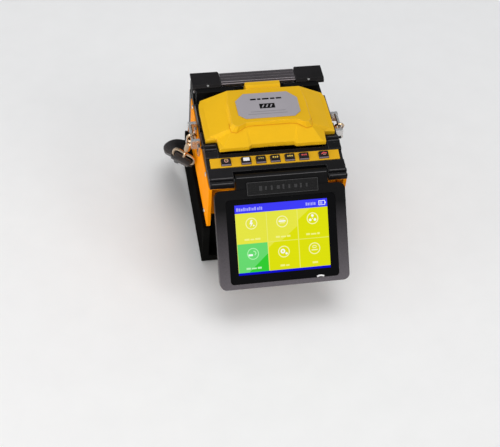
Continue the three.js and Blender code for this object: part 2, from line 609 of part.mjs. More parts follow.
function addStrapHardware() {
  const ends = {};
  for (const [name, side] of SIDES) {
    const hang = HANG[name];
    piece(`strap_bar_${name}`, make([
      box(...span(side, 52.9, 54.4), -15, -9, 78, 87.4),
      box(...span(side, 52.9, 54.4), 5, 11, 78, 87.4),
      box(...span(side, 52.9, 59.4), -12.6, -9.8, 84, 92),
      box(...span(side, 52.9, 59.4), 6.6, 9.4, 84, 92),
      rod('y', 1.3, -11, 8, side * BAR_X, BAR_Z, 14),
    ]), STEEL, 0.35, 1);
    const chain = new THREE.Group();
    chain.position.set(side * BAR_X, BAR_Y, BAR_Z);
    chain.rotation.set(hang.swing * RAD, side * -hang.lean * RAD, 0);
    splicer.add(chain);
    const loopPoint = (degrees) => {
      const angle = degrees * RAD;
      return [side * 3.5 * Math.cos(angle), 0, -4 + 7 * Math.sin(angle)];
    };
    const loop = [];
    for (let i = 0; i <= 16; i += 1) loop.push(loopPoint(18 + (i / 16) * 292));
    const eye = ringWire(3.3, 1);
    eye.rotateY(Math.PI / 2);
    eye.rotateZ(side * -hang.eyeTurn * RAD);
    eye.translate(0, 0, -HOOK_EYE);
    piece(`snap_hook_${name}`, make([
      wire(loop, 1, false, 8, 30),
      rod('z', 2.5, -20.6, -10.4, 0, 0, 14),
      rod('z', 1.6, -23.4, -20, 0, 0, 12),
      eye,
    ]), GOLD, 0.3, 1, chain);
    piece(`hook_gate_${name}`, wire([loopPoint(-44), loopPoint(12)], 0.8, false, 8, 1), STEEL,
      0.3, 1, chain);
    const half = 8.6;
    const ring = wire([
      [0, -half + 2, 0], [0, 0, 0], [0, half - 2, 0], [0, half, -2.5], [0, half, -RING_DROP + 2],
      [0, half - 2, -RING_DROP], [0, 0, -RING_DROP], [0, -half + 2, -RING_DROP],
      [0, -half, -RING_DROP + 2], [0, -half, -2.5],
    ], 1.1, true, 8, 40);
    const zAxis = new THREE.Vector3(...hang.down).normalize().negate();
    const yAxis = new THREE.Vector3(...hang.bar);
    yAxis.addScaledVector(zAxis, -yAxis.dot(zAxis)).normalize();
    const xAxis = new THREE.Vector3().crossVectors(yAxis, zAxis);
    const ringMesh = piece(`strap_ring_${name}`, ring, GOLD, 0.3, 1);
    chain.updateMatrixWorld();
    ringMesh.position.set(0, 0, -HOOK_EYE - 0.8).applyMatrix4(chain.matrixWorld);
    ringMesh.quaternion.setFromRotationMatrix(new THREE.Matrix4().makeBasis(xAxis, yAxis, zAxis));
    const centre = ringMesh.position.clone().addScaledVector(zAxis, -RING_DROP - 3);
    ends[name] = { centre: centre.toArray(), bar: yAxis.toArray() };
  }
  return ends;
}

// A flat ribbon along a path. Each station holds a point and the way the width points there.
function webbing(stations, width, thickness, samples) {
  const curve = new THREE.CatmullRomCurve3(
    stations.map(({ at }) => new THREE.Vector3(...at)), false, 'centripetal');
  curve.arcLengthDivisions = 1200;
  const widthAt = (t) => {
    const place = Math.min(t * (stations.length - 1), stations.length - 1.0001);
    const i = Math.floor(place);
    const first = new THREE.Vector3(...stations[i].across);
    return first.lerp(new THREE.Vector3(...stations[i + 1].across), place - i);
  };
  const rings = [];
  for (let i = 0; i <= samples; i += 1) {
    const t = curve.getUtoTmapping(i / samples);
    const centre = curve.getPoint(t);
    const tangent = curve.getTangent(t);
    const across = widthAt(t);
    across.addScaledVector(tangent, -across.dot(tangent)).normalize();
    const normal = new THREE.Vector3().crossVectors(across, tangent);
    const corner = (a, b) => centre.clone().addScaledVector(across, a * width / 2)
      .addScaledVector(normal, b * thickness / 2).toArray();
    rings.push([corner(-1, -1), corner(1, -1), corner(1, 1), corner(-1, 1)]);
  }
  const positions = rings.flat().flat();
  const index = [];
  for (let k = 0; k < samples; k += 1) {
    for (let i = 0; i < 4; i += 1) {
      const a = k * 4 + i;
      const b = k * 4 + ((i + 1) % 4);
      index.push(a, b + 4, b, a, a + 4, b + 4);
    }
  }
  const last = samples * 4;
  index.push(0, 1, 2, 0, 2, 3, last, last + 2, last + 1, last, last + 3, last + 2);
  const geometry = new THREE.BufferGeometry();
  geometry.setAttribute('position', new THREE.BufferAttribute(new Float32Array(positions), 3));
  geometry.setIndex(index);
  return geometry;
}

// The strap leaves the left ring, twists onto its edge, lies in upright folds behind the body
// and climbs back to the right ring.
function strapStations(ends) {
  const low = STRAP_W / 2 + 0.4;
  const upright = [0, 0, -1];
  const flip = (v) => v.map((c) => -c);
  const stations = [
    { at: ends.left.centre, across: ends.left.bar },
    { at: [-65.4, 20.5, 40.5], across: [0.85, -0.3, -0.45] },
    { at: [-66, 33, 30], across: [0.8, -0.1, -0.6] },
    { at: [-67, 47, 21], across: [0.5, 0, -0.87] },
    { at: [-61, 58, 14], across: [0.1, -0.1, -1] },
    { at: [-48, 61, low + 0.3], across: upright },
  ];
  for (let i = 0; i < STRAP_PASSES; i += 1) {
    const way = i % 2 === 0 ? 1 : -1;
    const y = 63 + i * STRAP_GAP;
    for (const t of [-1, -0.5, 0, 0.5, 1]) {
      stations.push({ at: [way * t * STRAP_FOLD_HALF, y, low], across: upright });
    }
    if (i < STRAP_PASSES - 1) {
      const x = way * (STRAP_FOLD_HALF + STRAP_GAP / 2);
      stations.push({ at: [x, y + STRAP_GAP / 2, low], across: upright });
    }
  }
  const backY = 63 + (STRAP_PASSES - 1) * STRAP_GAP;
  stations.push(
    { at: [48, backY - 3, low], across: upright },
    { at: [57, backY - 14, low + 0.2], across: upright },
    { at: [61.5, 74, 11.5], across: upright },
    { at: [62.5, 58, 13.5], across: upright },
    { at: [62.5, 46, 20], across: [0, -0.4, -0.9] },
    { at: [61.8, 34, 33], across: [0, -0.7, -0.7] },
    { at: [60.8, 24, 45], across: flip(ends.right.bar) },
    { at: ends.right.centre, across: flip(ends.right.bar) },
  );
  return stations;
}

addBase();
addShells();
addInternals();
addDeck();
addCover();
addHeater();
addScreen();
const strapEnds = addStrapHardware();
const strap = webbing(strapStations(strapEnds), STRAP_W, STRAP_T, 300);
piece('neck_strap', strap, RUBBER, 0.85, 0);

export default splicer;
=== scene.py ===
import math

import bmesh
import bpy
from mathutils import Matrix, Vector


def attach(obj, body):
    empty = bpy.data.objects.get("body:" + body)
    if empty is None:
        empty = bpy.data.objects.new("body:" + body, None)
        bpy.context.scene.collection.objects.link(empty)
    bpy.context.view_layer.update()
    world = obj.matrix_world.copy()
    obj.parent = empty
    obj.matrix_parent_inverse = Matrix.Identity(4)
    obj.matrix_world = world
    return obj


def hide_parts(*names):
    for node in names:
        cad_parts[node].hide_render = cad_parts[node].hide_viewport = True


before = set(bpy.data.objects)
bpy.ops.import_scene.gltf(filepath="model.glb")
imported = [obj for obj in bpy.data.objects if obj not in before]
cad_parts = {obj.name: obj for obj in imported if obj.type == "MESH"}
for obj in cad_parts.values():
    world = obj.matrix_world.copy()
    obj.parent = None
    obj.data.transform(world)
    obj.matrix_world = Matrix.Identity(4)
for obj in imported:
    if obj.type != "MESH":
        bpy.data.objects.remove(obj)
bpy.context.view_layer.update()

MM = 0.001
RAD = math.pi / 180
TURN = 6.28319                      # one full turn, radians
HALF_W, PICTURE_TOP = 35.04, 26.28  # half size of the lit picture, mm
scene = bpy.context.scene

# ---------------------------------------------------------------- camera, light, floor
CAM_AZ, CAM_EL, CAM_ROLL = -13.508, 48.481, 5.211
CAM_TARGET = Vector((-20.209, -63.123, 50.0)) * MM
CAM_DISTANCE = 819.484 * MM
CAM_LENS = 77.23


def make_camera():
    az, el, roll = CAM_AZ * RAD, CAM_EL * RAD, CAM_ROLL * RAD
    back = Vector((math.sin(az) * math.cos(el), -math.cos(az) * math.cos(el), math.sin(el)))
    right = (-back).cross(Vector((0, 0, 1))).normalized()
    up = right.cross(-back)
    across = right * math.cos(roll) + up * math.sin(roll)
    upward = up * math.cos(roll) - right * math.sin(roll)
    data = bpy.data.cameras.new("camera")
    data.lens, data.sensor_width = CAM_LENS, 36.0
    data.clip_start, data.clip_end = 0.05, 20
    cam = bpy.data.objects.new("camera", data)
    scene.collection.objects.link(cam)
    turn = Matrix((across, upward, back)).transposed().to_4x4()
    cam.matrix_world = Matrix.Translation(CAM_TARGET + back * CAM_DISTANCE) @ turn
    scene.camera = cam


LIGHT_TARGET = Vector((0, 0, 0.06))
FLOOR_HALF = 3


def area_light(name, where, size, power, color=(1, 1, 1)):
    data = bpy.data.lights.new(name, "AREA")
    data.shape = "RECTANGLE"
    data.size, data.size_y = size
    data.energy = power
    data.color = color
    light = bpy.data.objects.new(name, data)
    scene.collection.objects.link(light)
    light.location = where
    aim = LIGHT_TARGET - Vector(where)
    light.rotation_euler = aim.to_track_quat("-Z", "Y").to_euler()


def make_stage():
    world = bpy.data.worlds.new("studio")
    scene.world = world
    world.use_nodes = True
    world.node_tree.nodes["Background"].inputs[0].default_value = (0.95, 0.97, 1.0, 1)
    world.node_tree.nodes["Background"].inputs[1].default_value = 0.40
    area_light("key", (-0.62, -1.05, 0.85), (0.7, 0.5), 2.4, (1.0, 0.98, 0.95))
    area_light("side", (0.98, -0.85, 0.80), (0.5, 0.5), 3.7, (1.0, 0.98, 0.95))
    area_light("fill", (-1.1, -0.2, 0.35), (0.7, 0.4), 2.6)
    area_light("low", (-0.75, -0.95, 0.12), (0.5, 0.15), 5.6, (1.0, 0.94, 0.84))
    area_light("top", (0.15, 0.15, 1.35), (1.2, 0.8), 6.6)
    mesh = bpy.data.meshes.new("floor")
    corners = [(x * FLOOR_HALF, y * FLOOR_HALF, 0) for x, y in ((-1, -1), (1, -1), (1, 1), (-1, 1))]
    mesh.from_pydata(corners, [], [(0, 1, 2, 3)])
    floor = bpy.data.objects.new("floor", mesh)
    scene.collection.objects.link(floor)
    card = plastic("floor_card", (0.93, 0.93, 0.93), 0.7, mottle=0.01, specular=0.2)
    floor.data.materials.append(card)


# ---------------------------------------------------------------- materials
class Nodes:
    """Short calls for building one material's node tree."""

    def __init__(self, name):
        self.mat = bpy.data.materials.new(name)
        self.mat.use_nodes = True
        self.tree = self.mat.node_tree
        self.bsdf = self.tree.nodes["Principled BSDF"]
        self.coord = self.tree.nodes.new("ShaderNodeTexCoord")

    def add(self, kind, **values):
        node = self.tree.nodes.new(kind)
        for key, value in values.items():
            setattr(node, key, value)
        return node

    def link(self, a, b):
        self.tree.links.new(a, b)

    def stretched(self, scale=(1, 1, 1), source="Object"):
        node = self.add("ShaderNodeMapping")
        node.inputs["Scale"].default_value = scale
        self.link(self.coord.outputs[source], node.inputs["Vector"])
        return node.outputs["Vector"]

    def noise(self, scale, detail=4, rough=0.55, vector=None):
        node = self.add("ShaderNodeTexNoise")
        node.inputs["Scale"].default_value = scale
        node.inputs["Detail"].default_value = detail
        node.inputs["Roughness"].default_value = rough
        self.link(vector or self.coord.outputs["Object"], node.inputs["Vector"])
        return node.outputs["Fac"]

    def remap(self, value, low, high, out_low, out_high):
        node = self.add("ShaderNodeMapRange")
        for i, number in enumerate((low, high, out_low, out_high)):
            node.inputs[i + 1].default_value = number
        self.link(value, node.inputs[0])
        return node.outputs[0]

    def mix(self, fac, a, b):
        node = self.add("ShaderNodeMix", data_type="RGBA")
        self.link(fac, node.inputs["Factor"])
        for value, socket in ((a, node.inputs[6]), (b, node.inputs[7])):
            if isinstance(value, tuple):
                socket.default_value = (*value[:3], 1)
            else:
                self.link(value, socket)
        return node.outputs[2]

    def math(self, operation, a, b):
        node = self.add("ShaderNodeMath", operation=operation)
        for value, socket in ((a, node.inputs[0]), (b, node.inputs[1])):
            if isinstance(value, (int, float)):
                socket.default_value = value
            else:
                self.link(value, socket)
        return node.outputs[0]

    def bump(self, height, distance, strength=1.0, normal=None):
        node = self.add("ShaderNodeBump")
        node.inputs["Distance"].default_value = distance
        node.inputs["Strength"].default_value = strength
        self.link(height, node.inputs["Height"])
        if normal is not None:
            self.link(normal, node.inputs["Normal"])
        return node.outputs["Normal"]

    def edges(self, radius=0.0005):
        """Bright along sharp edges only: where a rounded normal leaves the real one."""
        rounded = self.add("ShaderNodeBevel", samples=4)
        rounded.inputs["Radius"].default_value = radius
        geometry = self.add("ShaderNodeNewGeometry")
        dot = self.add("ShaderNodeVectorMath", operation="DOT_PRODUCT")
        self.link(rounded.outputs["Normal"], dot.inputs[0])
        self.link(geometry.outputs["Normal"], dot.inputs[1])
        return self.remap(dot.outputs["Value"], 0.985, 0.86, 0, 1)


def shade(color, factor):
    return tuple(min(1, c * factor) for c in color)


def plastic(name, color, rough=0.4, grain=0.00003, grain_scale=2600, mottle=0.06, edge=0.25,
            coat=0.0, specular=0.5):
    n = Nodes(name)
    broad = n.remap(n.noise(38, 3), 0.3, 0.7, 0, 1)
    base = n.mix(broad, shade(color, 1 - mottle), shade(color, 1 + mottle))
    # Lighter colour on sharp edges: partly rubbed wear, partly painted highlight standing in for
    # edge glints.
    edge_wear_and_highlight = n.math("MULTIPLY", n.edges(), n.remap(n.noise(260, 3), 0.3, 0.7, edge * 0.3, edge))
    base = n.mix(edge_wear_and_highlight, base, tuple(c + (0.9 - c) * 0.25 for c in color))
    n.link(base, n.bsdf.inputs["Base Color"])
    smudge = n.noise(85, 5, 0.6)
    n.link(n.remap(smudge, 0.3, 0.7, rough * 0.86, rough * 1.16), n.bsdf.inputs["Roughness"])
    fine = n.bump(n.noise(grain_scale, 2), grain)
    n.link(n.bump(n.noise(24, 2), 0.00035, 0.35, fine), n.bsdf.inputs["Normal"])
    n.bsdf.inputs["Specular IOR Level"].default_value = specular
    n.bsdf.inputs["Coat Weight"].default_value = coat
    n.bsdf.inputs["Coat Roughness"].default_value = 0.15
    return n.mat


def metal(name, color, rough=0.3, stretch=(1, 1, 1), brush=1400, depth=0.00002):
    n = Nodes(name)
    lines = n.noise(brush, 2, 0.5, n.stretched(stretch))
    stain = n.remap(n.noise(60, 4), 0.3, 0.75, 0, 1)
    n.link(n.mix(stain, shade(color, 0.82), shade(color, 1.1)), n.bsdf.inputs["Base Color"])
    n.link(n.remap(lines, 0.3, 0.7, rough * 0.75, rough * 1.35), n.bsdf.inputs["Roughness"])
    n.link(n.bump(lines, depth), n.bsdf.inputs["Normal"])
    n.bsdf.inputs["Metallic"].default_value = 1.0
    return n.mat


def glowing(name, color, strength, darker=0.92):
    """A lit display field: even light with the panel's fine pixel grid."""
    n = Nodes(name)
    cell = n.add("ShaderNodeTexVoronoi", feature="F1", distance="CHEBYCHEV")
    cell.inputs["Scale"].default_value = 4500
    cell.inputs["Randomness"].default_value = 0.0
    n.link(n.coord.outputs["Object"], cell.inputs["Vector"])
    grid = n.remap(cell.outputs["Distance"], 0.3, 0.5, 0, 1)
    drift = n.remap(n.noise(30, 2), 0.3, 0.7, 0, 1)
    even = n.mix(drift, shade(color, 0.97), shade(color, 1.03))
    lit = n.mix(grid, even, shade(color, darker))
    n.link(lit, n.bsdf.inputs["Emission Color"])
    n.bsdf.inputs["Emission Strength"].default_value = strength
    n.bsdf.inputs["Base Color"].default_value = (0.002, 0.002, 0.002, 1)
    n.bsdf.inputs["Specular IOR Level"].default_value = 0.03
    n.bsdf.inputs["Roughness"].default_value = 0.25
    return n.mat


def webbing_material(name, color):
    """Woven nylon: ribs across the strap and a herringbone twill, from its UVs."""
    n = Nodes(name)
    uv = n.coord.outputs["UV"]
    split = n.add("ShaderNodeSeparateXYZ")
    n.link(uv, split.inputs[0])
    along, across = split.outputs["Y"], split.outputs["X"]
    zig = n.math("PINGPONG", n.math("MULTIPLY", across, 4.0), 0.5)
    rib = n.math("SINE", n.math("MULTIPLY", n.math("ADD", n.math("MULTIPLY", along, 900.0),
                                                      n.math("MULTIPLY", zig, 5.0)), 6.2832), 0.0)
    warp = n.math("SINE", n.math("MULTIPLY", across, 6.2832 * 22), 0.0)
    weave = n.math("MULTIPLY", n.math("ADD", rib, n.math("MULTIPLY", warp, 0.7)), 0.5)
    fuzz = n.noise(2600, 3)
    height = n.math("ADD", weave, n.math("MULTIPLY", fuzz, 0.6))
    tone = n.remap(height, -0.6, 1.2, 0, 1)
    n.link(n.mix(tone, shade(color, 0.5), shade(color, 1.9)), n.bsdf.inputs["Base Color"])
    n.link(n.bump(height, 0.00012), n.bsdf.inputs["Normal"])
    n.bsdf.inputs["Roughness"].default_value = 0.82
    n.bsdf.inputs["Sheen Weight"].default_value = 0.25
    return n.mat


def bezel_with_painted_reflection(name):
    """Screen housing: satin grey with a painted reflection, lighter low on the housing and darker
    towards the hinge at the top.
    """
    n = Nodes(name)
    split = n.add("ShaderNodeSeparateXYZ")
    n.link(n.coord.outputs["Object"], split.inputs[0])
    # Painted reflection: grey low on the housing fading to near black at the top.
    height = n.remap(split.outputs["Z"], 0.034, 0.078, 0, 1)
    tone = n.mix(height, (0.098, 0.090, 0.100), (0.0055, 0.0055, 0.006))
    speck = n.remap(n.noise(900, 3), 0.3, 0.7, 0, 1)
    n.link(n.mix(speck, tone, n.mix(height, (0.122, 0.110, 0.124), (0.0075, 0.0075, 0.008))),
           n.bsdf.inputs["Base Color"])
    n.link(n.remap(n.noise(85, 5, 0.6), 0.3, 0.7, 0.32, 0.44), n.bsdf.inputs["Roughness"])
    n.link(n.bump(n.noise(2200, 2), 0.00004), n.bsdf.inputs["Normal"])
    n.bsdf.inputs["Specular IOR Level"].default_value = 0.06
    return n.mat


def plate_material(name, color):
    """Dark moulded plate with a fine crossed-line texture."""
    n = Nodes(name)
    lines = []
    for direction in ("X", "Y"):
        wave = n.add("ShaderNodeTexWave", bands_direction=direction)
        wave.inputs["Scale"].default_value = 220
        wave.inputs["Distortion"].default_value = 1.5
        n.link(n.coord.outputs["Object"], wave.inputs["Vector"])
        lines.append(wave.outputs["Fac"])
    height = n.math("MULTIPLY", lines[0], lines[1])
    speck = n.noise(1300, 3)
    n.link(n.mix(n.remap(speck, 0.35, 0.7, 0, 1), shade(color, 0.6), shade(color, 1.7)),
           n.bsdf.inputs["Base Color"])
    n.bsdf.inputs["Specular IOR Level"].default_value = 0.15
    n.link(n.bump(height, 0.00015, 1.0, n.bump(speck, 0.00008)), n.bsdf.inputs["Normal"])
    n.bsdf.inputs["Roughness"].default_value = 0.6
    return n.mat


def smoked(name):
    n = Nodes(name)
    broad = n.remap(n.noise(60, 3), 0.3, 0.7, 0, 1)
    n.link(n.mix(broad, (0.075, 0.064, 0.072), (0.12, 0.105, 0.115)), n.bsdf.inputs["Base Color"])
    n.link(n.remap(n.noise(150, 4), 0.3, 0.7, 0.08, 0.2), n.bsdf.inputs["Roughness"])
    n.link(n.bump(n.noise(45, 3), 0.0004, 0.5), n.bsdf.inputs["Normal"])
    n.bsdf.inputs["Transmission Weight"].default_value = 0.55
    n.bsdf.inputs["IOR"].default_value = 1.49
    return n.mat


M = {}


def srgb(r, g, b):
    """A colour given as 0-255 sRGB, as the linear one the shaders take."""
    return tuple((c / 255 / 12.92) if c <= 10 else ((c / 255 + 0.055) / 1.055) ** 2.4
                 for c in (r, g, b))


def make_materials():
    M["yellow_cover"] = plastic("cover_yellow", (0.80, 0.458, 0.010), 0.42, mottle=0.03, edge=0.5,
                                specular=0.10)
    # The shells and front panel get the cover's yellow turned darker and more orange, to the tone
    # of their shaded sides: painted shade.
    M["yellow_shell"] = plastic("shell_painted_shade", (0.97, 0.31, 0.001), 0.55, mottle=0.04, edge=0.1,
                                specular=0.02)
    M["strip_yellow"] = plastic("strip_yellow", (0.74, 0.40, 0.004), 0.4, mottle=0.04,
                                specular=0.10)
    M["black"] = plastic("deck_black", (0.0055, 0.0052, 0.0062), 0.32, grain=0.00003, mottle=0.25,
                         specular=0.08, edge=0.45)
    M["base_black"] = plastic("base_black", (0.0052, 0.0052, 0.005), 0.5, mottle=0.3, specular=0.0,
                              edge=0.12)
    M["deep_black"] = plastic("deep_black", (0.0045, 0.0045, 0.005), 0.5, mottle=0.3, specular=0.06,
                              edge=0.15)
    M["rough_black"] = plastic("heater_black", (0.009, 0.008, 0.009), 0.6, grain=0.00012,
                               grain_scale=1300, mottle=0.3, specular=0.14, edge=0.4)
    M["dark_grey"] = bezel_with_painted_reflection("bezel_painted_reflection")
    M["battery_grey"] = plastic("battery_grey", (0.022, 0.022, 0.024), 0.5, grain=0.00006,
                                mottle=0.2, edge=0.1, specular=0.2)
    M["rubber"] = plastic("rubber_black", (0.008, 0.008, 0.009), 0.7, grain=0.00006,
                          grain_scale=1900, mottle=0.3, specular=0.15, edge=0.1)
    M["key_cap"] = plastic("key_cap", (0.006, 0.004, 0.005), 0.38, mottle=0.2, specular=0.12,
                           edge=0.2)
    M["key_rim"] = plastic("key_rim", (0.20, 0.165, 0.205), 0.45, mottle=0.1, specular=0.2)
    M["steel"] = metal("satin_steel", (0.62, 0.61, 0.60), 0.28)
    M["dark_steel"] = metal("dark_steel", (0.10, 0.10, 0.105), 0.4)
    M["brushed"] = metal("brushed_alloy", (0.66, 0.66, 0.68), 0.34, (1, 12, 12))
    M["dark_alloy"] = metal("dark_alloy", (0.035, 0.034, 0.036), 0.42, (1, 12, 12))
    M["gold"] = metal("pale_gold", (0.66, 0.50, 0.34), 0.2, brush=900)
    M["ceramic"] = plastic("ceramic", (0.80, 0.78, 0.72), 0.5, mottle=0.05)
    M["board"] = plastic("circuit_board", (0.02, 0.14, 0.06), 0.35, grain=0.00008,
                         grain_scale=700, mottle=0.3)
    M["label"] = plastic("label_foil", (0.37, 0.345, 0.375), 0.42, grain=0.00002, mottle=0.04,
                         edge=0.1)
    M["label_ink"] = plastic("label_ink", (0.004, 0.004, 0.005), 0.5, specular=0.05, edge=0)
    M["label_grey"] = plastic("label_grey", (0.20, 0.19, 0.21), 0.4)
    M["plate"] = plate_material("name_plate", (0.007, 0.007, 0.0075))
    M["plate_line"] = plastic("plate_line", (0.036, 0.036, 0.038), 0.5, specular=0.1)
    M["smoked"] = smoked("smoked_clear")
    # Pale rib colour on the heater lid: painted highlight.
    M["smoked_rib_highlight"] = plastic("smoked_rib_highlight", (0.36, 0.32, 0.36), 0.25, coat=0.1)
    M["smoked_line"] = plastic("smoked_line", (0.07, 0.06, 0.07), 0.3)
    M["webbing"] = webbing_material("webbing", (0.010, 0.010, 0.012))
    M["glass_black"] = plastic("glass_black", (0.002, 0.002, 0.0025), 0.07, grain=0.000002,
                               mottle=0.3, coat=0.0, specular=0.12, edge=0)
    M["white_print"] = plastic("white_print", (0.75, 0.75, 0.76), 0.4)
    lit = dict(blue=(62, 60, 250), dark_blue=(4, 4, 205), lime=(222, 225, 6), pale=(231, 231, 68),
               green=(49, 205, 48), mint=(104, 218, 112), line=(236, 236, 110),
               icon=(250, 247, 176), icon_green=(176, 245, 176), haze=(243, 243, 138),
               haze_green=(188, 245, 188), blue_mark=(168, 168, 252), white=(250, 250, 252))
    for name, color in lit.items():
        M["lit_" + name] = glowing("lit_" + name, srgb(*color), 1.02)


# ---------------------------------------------------------------- mesh helpers
def to_object(bm, name, materials, body, smooth=True):
    mesh = bpy.data.meshes.new(name)
    bm.normal_update()
    bm.to_mesh(mesh)
    bm.free()
    if smooth:
        mesh.polygons.foreach_set("use_smooth", [True] * len(mesh.polygons))
    obj = bpy.data.objects.new(name, mesh)
    scene.collection.objects.link(obj)
    for material in materials if isinstance(materials, (list, tuple)) else [materials]:
        obj.data.materials.append(material)
    if body:
        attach(obj, body)
    return obj


def modifier(obj, kind, **values):
    mod = obj.modifiers.new(kind.lower(), kind)
    for key, value in values.items():
        setattr(mod, key, value)
    return mod


def soften(obj, width=0.4, segments=2, angle=28, weld=True):
    """Rounds the sharp edges of a faceted mesh and shades its flats evenly."""
    if weld:
        modifier(obj, "WELD", merge_threshold=0.00001)
        modifier(obj, "DECIMATE", decimate_type="DISSOLVE", angle_limit=1.0 * RAD)
    modifier(obj, "BEVEL", width=width * MM, segments=segments, limit_method="ANGLE",
             angle_limit=angle * RAD, harden_normals=True, use_clamp_overlap=True)
    modifier(obj, "WEIGHTED_NORMAL", keep_sharp=True)


def dress(names, material, width=0.4, segments=2, angle=28):
    """Gives CAD nodes their finish and rounded edges."""
    for name in names.split():
        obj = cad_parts[name]
        obj.data.materials.clear()
        obj.data.materials.append(M[material])
        obj.data.polygons.foreach_set("use_smooth", [True] * len(obj.data.polygons))
        if width:
            soften(obj, width, segments, angle)


# ---------------------------------------------------------------- frames of the moving parts
SCREEN_TURN = 48.34 * RAD
SCREEN_AT = Vector((0, -88, 60.4))
STRIP_TURN = 13.2 * RAD
STRIP_AT = Vector((0, -40.95, 95.65))


def placed(origin, turn):
    """Millimetres in a tilted group, as world metres."""
    return Matrix.Scale(MM, 4) @ Matrix.Translation(origin) @ Matrix.Rotation(turn, 4, "X")


SCREEN = placed(SCREEN_AT, SCREEN_TURN)
STRIP = placed(STRIP_AT, STRIP_TURN)
WORLD = Matrix.Scale(MM, 4)


# ---------------------------------------------------------------- pieces
class Sheetwork:
    """Collects thin raised shapes, drawn in a plane, into one mesh with several finishes."""

    def __init__(self, name, body, frame_matrix, materials):
        self.bm = bmesh.new()
        self.name, self.body, self.matrix = name, body, frame_matrix
        self.names = materials

    def shape(self, points, low, high, material):
        slot = self.names.index(material)
        turn = sum(points[i - 1][0] * p[1] - p[0] * points[i - 1][1] for i, p in enumerate(points))
        if turn < 0:
            points = points[::-1]
        rings = [[self.bm.verts.new(self.matrix @ Vector((x, y, z))) for x, y in points]
                 for z in (low, high)]
        count = len(points)
        faces = [rings[0][::-1], rings[1]]
        faces += [[rings[0][i], rings[0][(i + 1) % count], rings[1][(i + 1) % count], rings[1][i]]
                  for i in range(count)]
        for corners in faces:
            self.bm.faces.new(corners).material_index = slot

    def rect(self, x0, x1, y0, y1, low, high, material):
        self.shape([(x0, y0), (x1, y0), (x1, y1), (x0, y1)], low, high, material)

    def ring(self, cx, cy, outer, inner, low, high, material, start=0.0, stop=360.0, steps=28):
        """A flat ring, or part of one, as quads that share their corners."""
        slot = self.names.index(material)
        closed = stop - start >= 360
        columns = []
        for i in range(steps if closed else steps + 1):
            angle = (start + (stop - start) * i / steps) * RAD
            c, s = math.cos(angle), math.sin(angle)
            columns.append([self.bm.verts.new(self.matrix @ Vector((cx + r * c, cy + r * s, z)))
                            for r, z in ((inner, low), (outer, low), (outer, high), (inner, high))])
        pairs = list(zip(columns, columns[1:] + columns[:1] if closed else columns[1:]))
        for a, b in pairs:
            for k in range(4):
                face = self.bm.faces.new((a[k], a[(k + 1) % 4], b[(k + 1) % 4], b[k]))
                face.material_index = slot
        if not closed:
            for end in (columns[0][::-1], columns[-1]):
                self.bm.faces.new(end).material_index = slot

    def disc(self, cx, cy, radius, low, high, material, sides=20):
        self.shape([(cx + radius * math.cos(TURN * i / sides),
                     cy + radius * math.sin(TURN * i / sides)) for i in range(sides)],
                   low, high, material)

    def finish(self):
        bmesh.ops.recalc_face_normals(self.bm, faces=self.bm.faces[:])
        obj = to_object(self.bm, self.name, [M[m] for m in self.names], self.body, smooth=False)
        return obj


